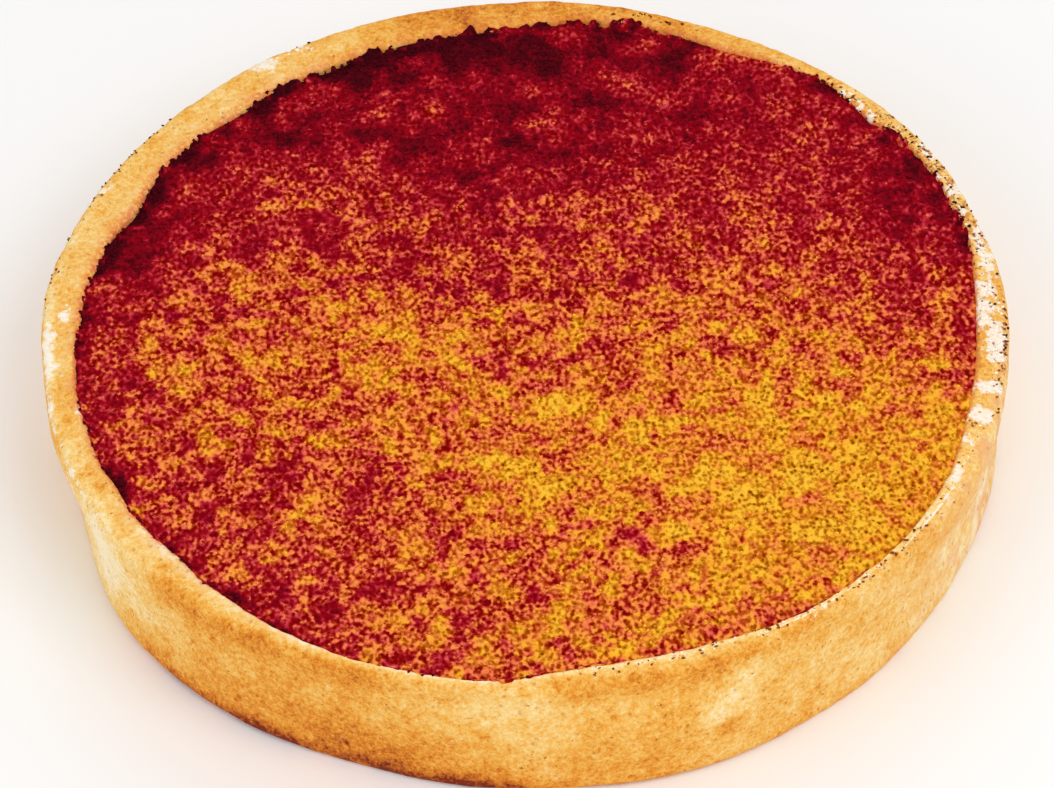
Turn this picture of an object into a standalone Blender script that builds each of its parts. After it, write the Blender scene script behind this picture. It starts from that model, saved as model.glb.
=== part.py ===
"""Creme brulee tartlet: a shallow shortcrust case filled level with baked custard.

Units are metres, +Z is up, and the origin is the middle of the flat underside.
+X is to the right of the side that faces the viewer, which looks along +Y.
Two pieces: the pastry shell, one cup with a floor, and the custard that fills it.
Angles round the case are in degrees, counter-clockwise from +X, seen from above.
"""

import math

import bmesh
import bpy
import numpy as np

MM = 0.001
TINY = 1e-12

# Driving dimensions of the case
RIM_RADIUS = 50.15 * MM
HEIGHT = 15.2 * MM
BASE_RADIUS = 48.4 * MM
MOUTH_RADIUS = 46.55 * MM
FLOOR_THICKNESS = 3.0 * MM
INNER_DRAFT = 0.8 * MM
INNER_FILLET = 2.0 * MM
RIM_INNER_ROUND = 0.6 * MM
RIM_OUTER_ROUND = 1.1 * MM
RIM_SLOPE = 0.25 * MM
BASE_ROUND = 1.3 * MM
LIP_START = 0.45
LIP_END = 0.85

# Driving dimensions of the custard
FIT_GAP = 0.3 * MM
FILL_DROP = 0.55 * MM
FILL_BOTTOM_ROUND = 2.0 * MM
EDGE_TUCK = 0.25 * MM
EDGE_TUCK_WIDTH = 2.0 * MM

# Fineness of the meshes
SEGMENTS = 120
ARC_STEPS = 4
WALL_ROWS = 6
FILL_CELLS = 42
MERGE_DISTANCE = 0.01 * MM

# Unevenness round the case: (waves in a turn, height, angle of a crest)
MOUTH_WAVES = (
    (1, 1.50 * MM, 4),
    (2, 0.25 * MM, 30),
    (3, 0.40 * MM, 50),
    (4, 0.20 * MM, -35),
    (5, 0.25 * MM, 31),
    (6, 0.35 * MM, 12),
)
RIM_WAVES = (
    (1, 0.40 * MM, 58),
    (2, 0.20 * MM, -40),
    (7, 0.08 * MM, 20),
    (11, 0.06 * MM, 3),
)
BASE_WAVES = (
    (1, 1.20 * MM, -42),
    (6, 0.10 * MM, 42),
    (13, 0.08 * MM, 10),
)
HEIGHT_WAVES = (
    (2, 0.10 * MM, 100),
    (5, 0.08 * MM, 15),
    (9, 0.06 * MM, 33),
)

# Local swellings and dents: (angle, rise, half width in degrees)
MOUTH_SPOTS = (
    (0, -0.60 * MM, 8),
    (64, -0.60 * MM, 8),
    (90, -0.70 * MM, 6),
    (152, -0.30 * MM, 5),
    (168, 0.35 * MM, 5),
    (212, 0.45 * MM, 9),
    (262, 0.30 * MM, 9),
    (277, -0.35 * MM, 7),
    (313, 0.40 * MM, 9),
)
RIM_SPOTS = (
    (15, -0.30 * MM, 5),
    (67, -0.70 * MM, 8),
    (182, -0.75 * MM, 8),
    (200, -0.65 * MM, 6),
    (224, -0.85 * MM, 13),
    (257, -1.45 * MM, 17),
    (283, -0.45 * MM, 9),
    (303, -0.30 * MM, 8),
)
BASE_SPOTS = (
    (194, -0.55 * MM, 9),
    (211, 0.50 * MM, 10),
    (250, -0.65 * MM, 10),
    (293, 0.50 * MM, 12),
    (340, -0.40 * MM, 14),
)

# Slow swells of the custard's top: (rise, wavelength, heading, phase in degrees)
TOP_SWELLS = (
    (0.14 * MM, 37 * MM, 15, 40),
    (0.10 * MM, 23 * MM, 75, 110),
    (0.08 * MM, 15 * MM, 130, 10),
    (0.06 * MM, 10 * MM, 40, 200),
    (0.05 * MM, 8 * MM, 105, 300),
)

PASTRY_COLOUR = (0.76, 0.44, 0.13, 1.0)
CUSTARD_COLOUR = (0.45, 0.08, 0.02, 1.0)


def new_collection(name):
    collection = bpy.data.collections.new(name)
    bpy.context.scene.collection.children.link(collection)
    return collection


def make_material(name, colour, roughness):
    material = bpy.data.materials.new(name)
    material.use_nodes = True
    shader = material.node_tree.nodes["Principled BSDF"]
    shader.inputs["Base Color"].default_value = colour
    shader.inputs["Roughness"].default_value = roughness
    shader.inputs["Metallic"].default_value = 0.0
    return material


def smoothstep(low, high, value):
    share = np.clip((value - low) / (high - low), 0.0, 1.0)
    return share * share * (3.0 - 2.0 * share)


def waves_at(angle, waves):
    """Sum of cosines round the case, each with its crest at a given angle."""
    total = np.zeros_like(angle)
    for count, rise, crest in waves:
        total += rise * np.cos(count * (angle - math.radians(crest)))
    return total


def spots_at(angle, spots):
    """Sum of rounded local swellings round the case, each fading with angle."""
    total = np.zeros_like(angle)
    for place, rise, half_width in spots:
        away = np.angle(np.exp(1j * (angle - math.radians(place))))
        total += rise * np.exp(-0.5 * (away / math.radians(half_width)) ** 2)
    return total


def mouth_radius(angle):
    """Inner edge of the rim."""
    return MOUTH_RADIUS + waves_at(angle, MOUTH_WAVES) + spots_at(angle, MOUTH_SPOTS)


def outer_radius(angle, height):
    """Outside of the wall: the base's outline turning into the rim's further up."""
    base = BASE_RADIUS + waves_at(angle, BASE_WAVES) + spots_at(angle, BASE_SPOTS)
    rim = RIM_RADIUS + waves_at(angle, RIM_WAVES) + spots_at(angle, RIM_SPOTS)
    return base + (rim - base) * smoothstep(LIP_START, LIP_END, height / HEIGHT)


def arc(centre_radius, centre_height, radius, start, stop, steps):
    """Points on a corner's arc, both ends included, angles in degrees."""
    points = []
    for step in range(steps + 1):
        turn = math.radians(start + (stop - start) * step / steps)
        points.append((
            centre_radius + radius * math.cos(turn),
            centre_height + radius * math.sin(turn),
        ))
    return points


def shell_profile():
    """Half section of the cup on its mean circles, from the middle of the floor
    up the inner wall, over the rim, down the outside and in under the base."""
    inner_foot = MOUTH_RADIUS - INNER_DRAFT
    rim_inner = HEIGHT - RIM_INNER_ROUND
    rim_outer = HEIGHT - RIM_SLOPE - RIM_OUTER_ROUND
    points = [(0.0, FLOOR_THICKNESS), (0.5 * inner_foot, FLOOR_THICKNESS)]
    points += arc(inner_foot - INNER_FILLET, FLOOR_THICKNESS + INNER_FILLET, INNER_FILLET,
                  -90, 0, ARC_STEPS)
    points += arc(MOUTH_RADIUS + RIM_INNER_ROUND, rim_inner, RIM_INNER_ROUND,
                  180, 90, ARC_STEPS - 1)
    points += arc(RIM_RADIUS - RIM_OUTER_ROUND, rim_outer, RIM_OUTER_ROUND,
                  90, 0, ARC_STEPS)
    for row in range(1, WALL_ROWS):
        share = row / WALL_ROWS
        points.append((RIM_RADIUS, rim_outer + (BASE_ROUND - rim_outer) * share))
    points += arc(RIM_RADIUS - BASE_ROUND, BASE_ROUND, BASE_ROUND, 0, -90, ARC_STEPS - 1)
    points.append((0.0, 0.0))
    return points


def turned_mesh(name, profile):
    """Mesh of a profile turned about +Z by a Screw modifier."""
    mesh = bpy.data.meshes.new(name + "_profile")
    corners = [(radius, 0.0, height) for radius, height in profile]
    mesh.from_pydata(corners, [(i, i + 1) for i in range(len(corners) - 1)], [])
    guide = bpy.data.objects.new(name + "_profile", mesh)
    bpy.context.scene.collection.objects.link(guide)
    screw = guide.modifiers.new("turn", "SCREW")
    screw.steps = SEGMENTS
    screw.render_steps = SEGMENTS
    screw.use_merge_vertices = True
    screw.merge_threshold = MERGE_DISTANCE
    screw.use_smooth_shade = True
    graph = bpy.context.evaluated_depsgraph_get()
    turned = bpy.data.meshes.new_from_object(guide.evaluated_get(graph))
    bpy.data.objects.remove(guide)
    return turned


def read_points(mesh):
    flat = np.empty(len(mesh.vertices) * 3)
    mesh.vertices.foreach_get("co", flat)
    return flat.reshape(-1, 3)


def set_points(mesh, points):
    mesh.vertices.foreach_set("co", points.astype(np.float32).ravel())
    mesh.update()


def shape_shell(points):
    """Carry the round cup onto the uneven case: radii are stretched between the
    centre, the mouth and the outside, and the rim follows its own low waves."""
    radius = np.hypot(points[:, 0], points[:, 1])
    height = points[:, 2]
    angle = np.arctan2(points[:, 1], points[:, 0])
    mouth = mouth_radius(angle)
    outside = outer_radius(angle, height)
    in_wall = np.clip((radius - MOUTH_RADIUS) / (RIM_RADIUS - MOUTH_RADIUS), 0.0, 1.0)
    in_bowl = np.clip(radius / MOUTH_RADIUS, 0.0, 1.0)
    new_radius = mouth * in_bowl + (outside - mouth) * in_wall
    upper = smoothstep(0.5 * HEIGHT, HEIGHT, height)
    new_height = height + waves_at(angle, HEIGHT_WAVES) * upper
    return np.stack([new_radius * np.cos(angle), new_radius * np.sin(angle), new_height], axis=1)


def disc_from_square(points):
    """Concentric map of the square from -1 to 1 onto the unit disc."""
    x = points[:, 0]
    y = points[:, 1]
    reach = np.maximum(np.abs(x), np.abs(y))
    turn = np.minimum(np.abs(x), np.abs(y)) / np.maximum(reach, TINY) * math.pi / 4.0
    wide = np.abs(x) >= np.abs(y)
    across = np.where(wide, np.cos(turn), np.sin(turn))
    along = np.where(wide, np.sin(turn), np.cos(turn))
    return np.stack([np.sign(x) * across * reach, np.sign(y) * along * reach], axis=1)


def top_height(x, y, share):
    """Level of the custard's top: slow swells, tucked down where it meets the pastry."""
    level = np.full_like(x, HEIGHT - FILL_DROP)
    for rise, wavelength, heading, phase in TOP_SWELLS:
        turn = math.radians(heading)
        travel = x * math.cos(turn) + y * math.sin(turn)
        level += rise * np.sin(2.0 * math.pi * travel / wavelength + math.radians(phase))
    inset = (1.0 - share) * MOUTH_RADIUS
    return level - EDGE_TUCK * (1.0 - smoothstep(0.0, EDGE_TUCK_WIDTH, inset))


def custard_side_rows():
    """(inset from the top's edge, height) of the rows under the top's edge."""
    foot_height = FLOOR_THICKNESS + FIT_GAP
    return arc(INNER_DRAFT + FILL_BOTTOM_ROUND, foot_height + FILL_BOTTOM_ROUND,
               FILL_BOTTOM_ROUND, 180, 270, ARC_STEPS - 1)


def build_shell(collection):
    mesh = turned_mesh("pastry_shell", shell_profile())
    set_points(mesh, shape_shell(read_points(mesh)))
    mesh.name = "pastry_shell"
    mesh.shade_smooth()
    shell = bpy.data.objects.new("pastry_shell", mesh)
    collection.objects.link(shell)
    shell.data.materials.append(make_material("shortcrust", PASTRY_COLOUR, 0.75))
    return shell


def build_custard(collection):
    bpy.ops.mesh.primitive_grid_add(x_subdivisions=FILL_CELLS, y_subdivisions=FILL_CELLS, size=2.0)
    custard = bpy.context.active_object
    custard.name = "custard_filling"
    mesh = custard.data
    mesh.name = "custard_filling"

    disc = disc_from_square(read_points(mesh))
    share = np.hypot(disc[:, 0], disc[:, 1])
    angle = np.arctan2(disc[:, 1], disc[:, 0])
    radius = share * (mouth_radius(angle) - FIT_GAP)
    x = radius * np.cos(angle)
    y = radius * np.sin(angle)
    set_points(mesh, np.stack([x, y, top_height(x, y, share)], axis=1))

    body = bmesh.new()
    body.from_mesh(mesh)
    rim_edges = [edge for edge in body.edges if edge.is_boundary]
    edge_radius = {}
    for inset, height in custard_side_rows():
        side = bmesh.ops.extrude_edge_only(body, edges=rim_edges)
        rim_edges = [item for item in side["geom"] if isinstance(item, bmesh.types.BMEdge)
                     and item.is_boundary]
        for vertex in {vertex for edge in rim_edges for vertex in edge.verts}:
            turn = math.atan2(vertex.co.y, vertex.co.x)
            top = edge_radius.setdefault(round(turn, 5), math.hypot(vertex.co.x, vertex.co.y))
            vertex.co = ((top - inset) * math.cos(turn), (top - inset) * math.sin(turn), height)
    bmesh.ops.contextual_create(body, geom=rim_edges)
    bmesh.ops.recalc_face_normals(body, faces=body.faces)
    body.to_mesh(mesh)
    body.free()
    mesh.shade_smooth()

    for owner in list(custard.users_collection):
        owner.objects.unlink(custard)
    collection.objects.link(custard)
    custard.data.materials.append(make_material("burnt_sugar", CUSTARD_COLOUR, 0.35))
    return custard


def main():
    for item in list(bpy.data.objects):
        bpy.data.objects.remove(item)
    collection = new_collection("creme_brulee_tartlet")
    build_shell(collection)
    build_custard(collection)


main()
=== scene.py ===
"""Creme brulee tartlet: finishes for the baked shell and the burnt sugar top.

Lengths are in metres, and in millimetres in the tables. Angles round the tartlet run
counter-clockwise from +X seen from above, in radians, and in degrees in the tables. The
shell stands on z = 0 and its rim is at the frame's top.
"""

import functools
import itertools
import math

import bmesh
import bpy
import numpy as np
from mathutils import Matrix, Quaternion, Vector


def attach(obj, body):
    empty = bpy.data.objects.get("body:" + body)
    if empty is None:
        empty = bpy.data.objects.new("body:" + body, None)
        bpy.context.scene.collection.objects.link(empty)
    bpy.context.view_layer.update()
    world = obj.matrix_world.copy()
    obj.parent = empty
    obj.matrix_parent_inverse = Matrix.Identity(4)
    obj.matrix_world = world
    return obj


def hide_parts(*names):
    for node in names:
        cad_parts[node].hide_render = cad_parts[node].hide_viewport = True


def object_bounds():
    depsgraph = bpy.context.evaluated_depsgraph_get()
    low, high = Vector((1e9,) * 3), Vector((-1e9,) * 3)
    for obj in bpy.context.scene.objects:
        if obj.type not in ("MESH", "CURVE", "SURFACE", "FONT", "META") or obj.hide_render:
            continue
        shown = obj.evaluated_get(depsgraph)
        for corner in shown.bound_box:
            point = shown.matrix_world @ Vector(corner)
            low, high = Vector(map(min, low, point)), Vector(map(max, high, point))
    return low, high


bl_info = {
    "name": "Creme Brulee Tartlet",
    "version": (1, 0, 0),
    "blender": (4, 5, 0),
    "location": "View3D > Sidebar > Tartlet",
    "description": "Makes a baked shortcrust tartlet with a burnt sugar top",
    "category": "Object",
}

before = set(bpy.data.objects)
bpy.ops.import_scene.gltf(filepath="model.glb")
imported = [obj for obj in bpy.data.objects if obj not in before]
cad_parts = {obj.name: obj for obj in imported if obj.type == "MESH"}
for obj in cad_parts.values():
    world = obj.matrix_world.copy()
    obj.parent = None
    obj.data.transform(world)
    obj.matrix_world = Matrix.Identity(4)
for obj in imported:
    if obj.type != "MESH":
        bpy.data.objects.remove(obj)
CAD_BOX = [list(corner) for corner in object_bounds()]

MM = 0.001
TAU = 2.0 * math.pi
SHELL_NODE = "pastry_shell"
CUSTARD_NODE = "custard_filling"

# Unevenness round the case: (waves in a turn, height in mm, angle of a crest)
MOUTH_WAVES = ((1, 1.5, 4), (2, 0.25, 30), (3, 0.4, 50), (4, 0.2, -35), (5, 0.25, 31), (6, 0.35, 12))
RIM_WAVES = ((1, 0.4, 58), (2, 0.2, -40), (7, 0.08, 20), (11, 0.06, 3))
BASE_WAVES = ((1, 1.2, -42), (6, 0.1, 42), (13, 0.08, 10))
HEIGHT_WAVES = ((2, 0.1, 100), (5, 0.08, 15), (9, 0.06, 33))

# Local swellings, dents and nicks: (angle, half width in degrees, rise in mm)
MOUTH_SPOTS = (
    (0, 8, -0.6), (64, 8, -0.6), (90, 6, -0.7), (152, 5, -0.3), (168, 5, 0.35), (212, 9, 0.45),
    (262, 9, 0.3), (277, 7, -0.35), (313, 9, 0.4), (18, 1.5, -0.3), (37, 2.2, -0.7), (60, 3.5, -0.5),
    (73, 1.5, 0.3), (130, 2.2, -0.3), (152, 2.4, -0.3), (157, 1.8, 0.25), (174, 5, -0.25),
    (192, 2, -0.25), (203, 2, -0.25), (218, 2, -0.2), (232, 9, 0.45), (246, 4, 0.25), (265, 5.5, 0.6),
    (280, 4, 0.35), (287, 3, 0.3), (301, 6, 0.55), (331, 5, 0.4),
)
RIM_SPOTS = (
    (15, 5, -0.3), (67, 8, -0.7), (182, 8, -0.75), (200, 6, -0.65), (224, 13, -0.85), (257, 17, -1.45),
    (283, 9, -0.45), (303, 8, -0.3),
)
BASE_SPOTS = ((194, 9, -0.55), (211, 10, 0.5), (250, 10, -0.65), (293, 12, 0.5), (340, 14, -0.4))

# Slow swells of the top: (rise in mm, wavelength in mm, heading, phase)
TOP_SWELLS = (
    (0.14, 37, 15, 40), (0.1, 23, 75, 110), (0.08, 15, 130, 10), (0.06, 10, 40, 200),
    (0.05, 8, 105, 300),
)


# ---- Sizes and colours ----

def number(name, description, default, **options):
    return bpy.props.FloatProperty(name=name, description=description, default=default, **options)


def length(name, description, millimetres):
    return number(name, description, millimetres * MM, unit="LENGTH", precision=5)


def slant(name, description, degrees):
    return number(name, description, math.radians(degrees), subtype="ANGLE")


def paint(name, description, red, green, blue):
    return bpy.props.FloatVectorProperty(
        name=name, description=description, subtype="COLOR_GAMMA", min=0.0, max=1.0,
        default=(red / 255.0, green / 255.0, blue / 255.0))


class TartletSizes(bpy.types.PropertyGroup):
    rim_radius: length("Rim radius", "Mean outer radius of the rim", 50.15)
    base_radius: length("Base radius", "Mean outer radius at the foot of the wall", 48.4)
    mouth_radius: length("Mouth radius", "Mean radius of the rim's inner edge", 46.55)
    height: length("Height", "Height of the rim", 15.2)
    floor_thickness: length("Floor thickness", "Thickness of the crust under the custard", 3.0)
    inner_draft: length("Inner draft", "How far the inner wall leans in at its foot", 0.8)
    inner_fillet: length("Inner fillet", "Round between the floor and the inner wall", 2.0)
    rim_inner_round: length("Inner edge round", "Round of the rim's inner edge", 0.6)
    rim_outer_round: length("Outer edge round", "Round of the rim's outer edge", 1.1)
    rim_slope: length("Rim slope", "How much lower the rim's outer edge is", 0.25)
    base_round: length("Foot round", "Round of the foot of the wall", 1.3)
    lip_start: number("Lip start", "Share of the height where the wall turns into the rim's outline", 0.45)
    lip_end: number("Lip end", "Share of the height where the rim's outline is reached", 0.85)
    fill_drop: length("Fill drop", "How far the custard's top lies under the rim", 0.55)
    edge_tuck: length("Edge tuck", "How far the custard dips where it meets the crust", 0.25)
    edge_tuck_width: length("Edge tuck width", "Width of that dip", 2.0)
    overlap: length("Overlap", "How far the custard reaches into the crust, so no gap shows", 0.2)


class PastryColours(bpy.types.PropertyGroup):
    cream: paint("Cream", "Palest crust", 254, 236, 200)
    straw: paint("Straw", "Lightly baked crust", 250, 214, 138)
    gold: paint("Gold", "Golden crust", 243, 181, 80)
    amber: paint("Amber", "Well baked crust", 229, 144, 44)
    brown: paint("Brown", "Browned foot of the wall", 182, 92, 32)
    umber: paint("Umber", "Darkest browned crust", 128, 44, 18)
    peach: paint("Peach", "Blush of the crust", 240, 170, 112)
    coral: paint("Coral", "Flecks of glaze on the crust's inner edge", 226, 106, 70)
    # Also the colour of the painted highlights on the rim.
    flour: paint("Flour", "Dusting of flour", 254, 247, 234)
    char: paint("Char", "Charred specks", 44, 16, 8)
    rust: paint("Rust", "Browned shards", 150, 66, 16)


class SugarColours(bpy.types.PropertyGroup):
    lemon: paint("Lemon", "Clearest melted sugar over custard", 251, 190, 56)
    yellow: paint("Yellow", "Clear melted sugar over custard", 246, 175, 50)
    amber: paint("Amber", "Amber sugar", 247, 163, 58)
    salmon: paint("Salmon", "Sugar that starts to burn", 247, 148, 73)
    coral: paint("Coral", "Sugar between the burnt grains", 239, 120, 77)
    rose: paint("Rose", "Threads between the grains of red sugar", 212, 76, 76)
    ruby: paint("Ruby", "Threads between the grains of dark sugar", 185, 43, 61)
    umber: paint("Umber", "Cores of the grains in clear sugar", 128, 58, 3)
    toffee: paint("Toffee", "Grains in clear sugar", 158, 80, 2)
    rust: paint("Rust", "Grains in amber sugar", 152, 46, 0)
    garnet: paint("Garnet", "Grains in red sugar", 140, 13, 9)
    crimson: paint("Crimson", "Grains run together", 147, 13, 27)
    wine: paint("Wine", "Deep burnt sugar", 133, 18, 33)
    maroon: paint("Maroon", "Nearly charred sugar", 96, 18, 27)
    soot: paint("Soot", "Charred grains", 56, 17, 25)


class StageSettings(bpy.types.PropertyGroup):
    floor: paint("Floor", "Colour of the table", 250, 250, 250)
    elevation: slant("Elevation", "Camera's angle above the table", 46.05)
    roll: slant("Roll", "Camera's turn about its own line of sight", 3.31)
    distance: length("Distance", "From the camera to the pivot that it swings about", 700.0)
    lens: number("Lens", "Focal length in mm", 232.5)
    pivot_height: length("Pivot height", "Height of that pivot above the table", 14.7)
    aim_right: length("Aim right", "Camera's aim, to the right of the middle", 0.41)
    aim_front: length("Aim front", "Camera's aim, in front of the middle", 8.28)
    sky: number("Sky", "Strength of the even light from all round", 0.7)
    key: number("Lamps", "Strength of the lamps beside the even light", 1.0)


# ---- Numbers on whole arrays ----

def linear(colour):
    """Screen colour to the linear values that shaders take, with opacity one."""
    shown = np.array(colour[:3])
    low = shown / 12.92
    high = ((shown + 0.055) / 1.055) ** 2.4
    return tuple(float(value) for value in np.where(shown <= 0.04045, low, high)) + (1.0,)


def screen(colour):
    """Screen colour kept as it is, with opacity one."""
    return tuple(colour[:3]) + (1.0,)


def smoothstep(low, high, value):
    """Zero below low, one above high, with a cubic in between."""
    part = np.clip((value - low) / (high - low), 0.0, 1.0)
    return part * part * (3.0 - 2.0 * part)


def bell(away, width):
    """Bell curve: one at zero, fading over the width."""
    return np.exp(-0.5 * (away / width) ** 2)


def near(angle, place, width):
    """Bell curve of the angle in radians, about a place and with a width in degrees."""
    return bell(np.degrees(np.angle(np.exp(1j * (angle - math.radians(place))))), width)


def patches_at(angle, patches, unit=1.0):
    """Sum of bell curves of the angle, each with its own place, width and strength."""
    return sum(strength * unit * near(angle, place, width) for place, width, strength in patches)


def waves_at(angle, waves):
    """Sum of cosines of the angle, each with its own count, height in mm and crest."""
    return sum(rise * MM * np.cos(count * (angle - math.radians(crest))) for count, rise, crest in waves)


def cell_value(cells, seed):
    """Repeatable random number from 0 to 1 for each row of whole numbers."""
    mixed = (cells[..., 0] * 374761393 + cells[..., 1] * 668265263 + cells[..., 2] * 1440662683
             + seed * 1274126177) & 0xFFFFFFFF
    mixed = ((mixed ^ (mixed >> 15)) * 2246822519) & 0xFFFFFFFF
    mixed = ((mixed ^ (mixed >> 13)) * 3266489917) & 0xFFFFFFFF
    return (mixed ^ (mixed >> 16)) / 4294967295.0


def soft_noise(points, cell, seed):
    """Random numbers at the corners of cubic cells, blended inside each cell by a
    smoothstep along every axis; from -1 to 1."""
    scaled = points / (cell * MM)
    corner = np.floor(scaled).astype(np.int64)
    part = scaled - corner
    part = part * part * (3.0 - 2.0 * part)
    total = np.zeros(points.shape[:-1])
    for step in itertools.product((0, 1), repeat=3):
        weight = np.prod(np.where(np.array(step) == 1, part, 1.0 - part), axis=-1)
        total += weight * cell_value(corner + np.array(step), seed)
    return 2.0 * total - 1.0


def layers_at(points, *layers):
    """Sum of soft noises, each with its own strength, cell in mm and seed."""
    return sum(strength * soft_noise(points, cell, seed) for strength, cell, seed in layers)


def nearest_seed(points, cell, seed):
    """Distance from each point to the nearest of the random seeds, one in every cubic
    cell, in shares of the cell, and that seed's own random number."""
    scaled = points / (cell * MM)
    home = np.floor(scaled).astype(np.int64)
    best = np.full(points.shape[:-1], np.inf)
    mark = np.zeros(points.shape[:-1])
    for step in itertools.product((-1, 0, 1), repeat=3):
        block = home + np.array(step)
        place = block + np.stack([cell_value(block, seed + axis) for axis in (1, 2, 3)], axis=-1)
        away = np.sqrt(((scaled - place) ** 2).sum(-1))
        closer = away < best
        best = np.where(closer, away, best)
        mark = np.where(closer, cell_value(block, seed), mark)
    return best, mark


def round_points(radius, angle, level):
    """Points at each radius, angle and height."""
    return np.stack(np.broadcast_arrays(radius * np.cos(angle), radius * np.sin(angle), level), axis=-1)


def flattened(points):
    """Points dropped to z = 0, so that a noise on them doesn't change with the height."""
    return points * np.array([1.0, 1.0, 0.0])


def surface_normals(points):
    """Unit normals of a grid of points: rows run along the profile, columns round the
    turn, and each normal is the cross product of the two central differences."""
    along = np.gradient(points, axis=0)
    around = np.roll(points, -1, axis=1) - np.roll(points, 1, axis=1)
    normal = np.cross(along, around)
    return normal / np.maximum(np.linalg.norm(normal, axis=-1, keepdims=True), 1e-12)


def keep_inside(points):
    """Points held within the solid's own box."""
    return np.clip(points, *np.array(CAD_BOX))


# ---- Meshes and materials ----

def add_piece(name, points, faces, material, node=None):
    """Object of the given points and faces, at the origin, riding on the tartlet."""
    mesh = bpy.data.meshes.new(name)
    mesh.from_pydata(points.reshape(-1, 3), [], faces)
    mesh.update()
    mesh.shade_smooth()
    piece = bpy.data.objects.new(name, mesh)
    bpy.context.scene.collection.objects.link(piece)
    piece.data.materials.append(material)
    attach(piece, "root")
    if node:
        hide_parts(node)
    return piece


def store(piece, name, values, rest=0.0):
    """Keeps one number for each point of a piece, for its material to read. Points past
    the last of the values keep the rest."""
    numbers = np.full(len(piece.data.vertices), rest, dtype=np.float32)
    numbers[:values.size] = values.ravel()
    piece.data.attributes.new(name, "FLOAT", "POINT").data.foreach_set("value", numbers)


def turned_faces(rows, columns):
    """Quads of a closed turn: row by row, with the last column joined to the first."""
    row, column = np.meshgrid(np.arange(rows - 1), np.arange(columns), indexing="ij")
    after = (column + 1) % columns
    quads = np.stack([row * columns + column, (row + 1) * columns + column,
                      (row + 1) * columns + after, row * columns + after], axis=-1)
    return quads.reshape(-1, 4).tolist()


def band_faces(upper, lower):
    """Quads between two rings of points."""
    return np.stack([upper, lower, np.roll(lower, -1), np.roll(upper, -1)], axis=-1).tolist()


def fan_faces(ring, middle):
    """Triangles from a ring of points to a middle one."""
    return np.stack([ring, np.roll(ring, -1), np.full_like(ring, middle)], axis=-1).tolist()


class Wiring:
    """Short ways to add and join the shader nodes of one material."""

    def __init__(self, name):
        self.material = bpy.data.materials.new(name)
        self.material.use_nodes = True
        self.tree = self.material.node_tree
        self.place = self.add("TexCoord").outputs["Object"]

    def feed(self, node, sockets):
        """Links or sets the sockets of a node, given by name or number."""
        for key, value in sockets.items():
            if isinstance(value, bpy.types.NodeSocket):
                self.tree.links.new(value, node.inputs[key])
            else:
                node.inputs[key].default_value = value

    def add(self, kind, sockets=None, **settings):
        """Shader node of a kind with its sockets fed and its settings made."""
        node = self.tree.nodes.new("ShaderNode" + kind)
        for key, value in settings.items():
            setattr(node, key, value)
        self.feed(node, sockets or {})
        return node

    def mapped(self, **sockets):
        """Place on the object, moved or scaled."""
        return self.add("Mapping", {"Vector": self.place, **sockets}).outputs["Vector"]

    def stretch(self, depth):
        """Draws the patterns out from front to back: below one, they grow longer."""
        self.place = self.mapped(Scale=(1.0, depth, 1.0))

    def number(self, name):
        """Number stored for each point of the piece."""
        return self.add("Attribute", attribute_name=name).outputs["Fac"]

    def maths(self, operation, *values):
        return self.add("Math", dict(enumerate(values)), operation=operation).outputs[0]

    def total(self, *values):
        return functools.reduce(functools.partial(self.maths, "ADD"), values)

    def times(self, first, second):
        return self.maths("MULTIPLY", first, second)

    def spread(self, value, low, high, start=0.0, stop=1.0):
        """Carries the range from low to high over to start and stop, held at both ends."""
        return self.add("MapRange", {
            "Value": value, "From Min": low, "From Max": high, "To Min": start, "To Max": stop,
        }, clamp=True).outputs["Result"]

    def noise(self, size, detail=2.0, roughness=0.5, offset=0.0):
        """Cloudy noise with features of a size in mm, from about 0 to 1."""
        place = self.mapped(Location=(offset, -offset, 0.7 * offset)) if offset else self.place
        return self.add("TexNoise", {
            "Vector": place, "Scale": 1.0 / (size * MM), "Detail": detail, "Roughness": roughness,
        }).outputs["Fac"]

    def scaled(self, value, factor, shift):
        return self.maths("MULTIPLY_ADD", value, factor, shift)

    def centred(self, noise, strength):
        """Noise drawn to both sides of zero, as strong as asked."""
        return self.scaled(noise, strength, -0.5 * strength)

    def specks(self, size, offset):
        """Distance to the nearest of scattered seeds about a size in mm apart."""
        place = self.mapped(Location=(offset, 0.5 * offset, -offset))
        seeds = self.add("TexVoronoi", {"Vector": place, "Scale": 1.0 / (size * MM)})
        return seeds.outputs["Distance"]

    def ramp(self, value, colours, tones, convert=linear):
        """Colour of a value: the tones are pairs of a position and a colour's name."""
        node = self.add("ValToRGB", {"Fac": value})
        steps = node.color_ramp.elements
        while len(steps) < len(tones):
            steps.new(0.5)
        for step, (position, name) in zip(steps, tones):
            step.position = position
            step.color = convert(getattr(colours, name))
        return node.outputs["Color"]

    def mix(self, share, first, second):
        return self.add(
            "Mix", {"Factor": share, 6: first, 7: second}, data_type="RGBA").outputs[2]

    def finish(self, colour, roughness, gloss, height=None, depth=0.0, strength=1.0):
        """Gives the shader its colour, roughness and gloss and, where a height from 0 to 1
        is given, small relief as deep as the depth in mm."""
        shader = self.tree.nodes["Principled BSDF"]
        self.feed(shader, {"Base Color": colour, "Roughness": roughness, "Specular IOR Level": gloss})
        if height is not None:
            relief = {"Strength": strength, "Distance": depth * MM, "Height": height}
            self.feed(shader, {"Normal": self.add("Bump", relief).outputs["Normal"]})
        return self.material


# ---- Form of the case ----

def mouth_at(sizes, angle):
    """Inner edge of the rim: its mean radius with waves, local swellings and nicks."""
    return sizes.mouth_radius + waves_at(angle, MOUTH_WAVES) + patches_at(angle, MOUTH_SPOTS, MM)


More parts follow.
